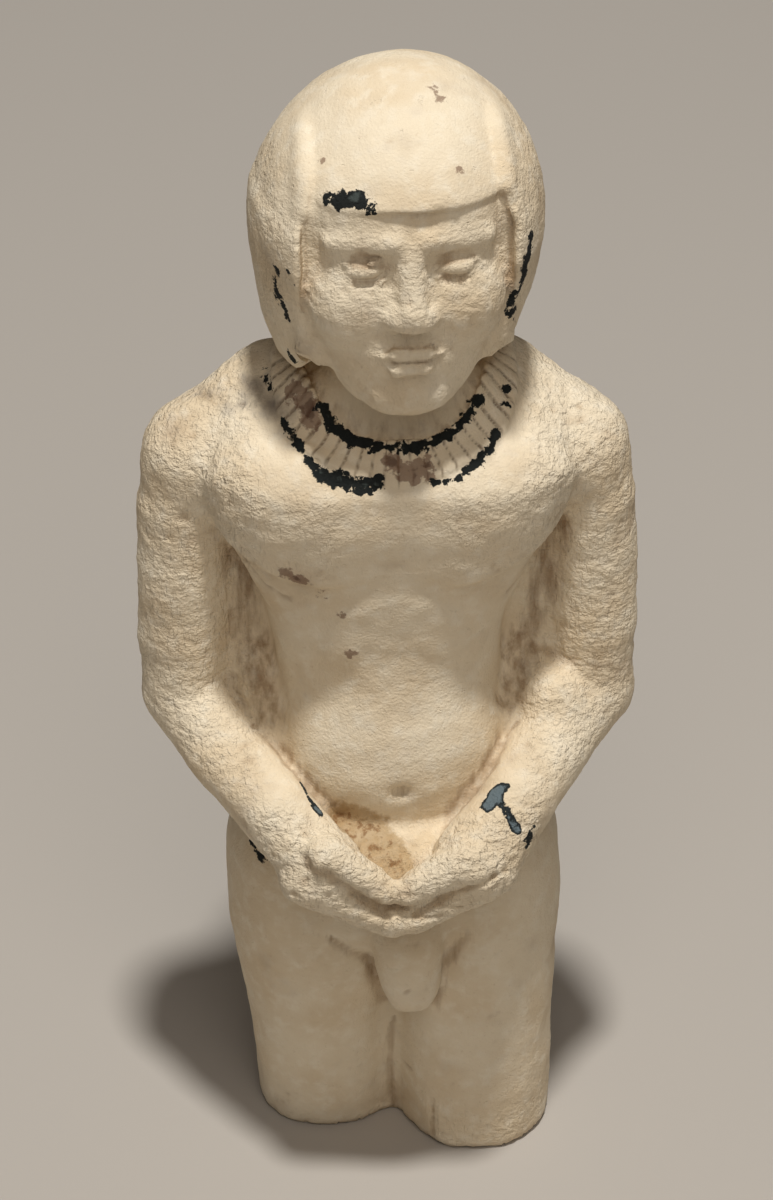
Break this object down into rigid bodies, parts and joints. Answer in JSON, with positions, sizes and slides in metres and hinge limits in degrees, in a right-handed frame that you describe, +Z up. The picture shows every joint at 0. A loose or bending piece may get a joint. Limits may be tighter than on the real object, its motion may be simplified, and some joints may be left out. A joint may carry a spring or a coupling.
{
  "type": "standing nude male statuette fragment",
  "caption": "Carved stone figure of a standing nude man in a short round wig and ribbed collar, hands clasped below the belly, broken off flat at the knees.",
  "frame": {"origin": "middle of the bounding box, on the flat broken underside", "axes": "+Z up the figure, -Y the way it faces, +X the viewer's right"},
  "size_m": [0.0946, 0.0674, 0.2302],
  "materials": {
    "limestone": "chalky matte, flaked black and blue-grey paint, brown stains"
  },
  "bodies": {
    "root": {"statuette": "limestone"}
  },
  "joints": []
}
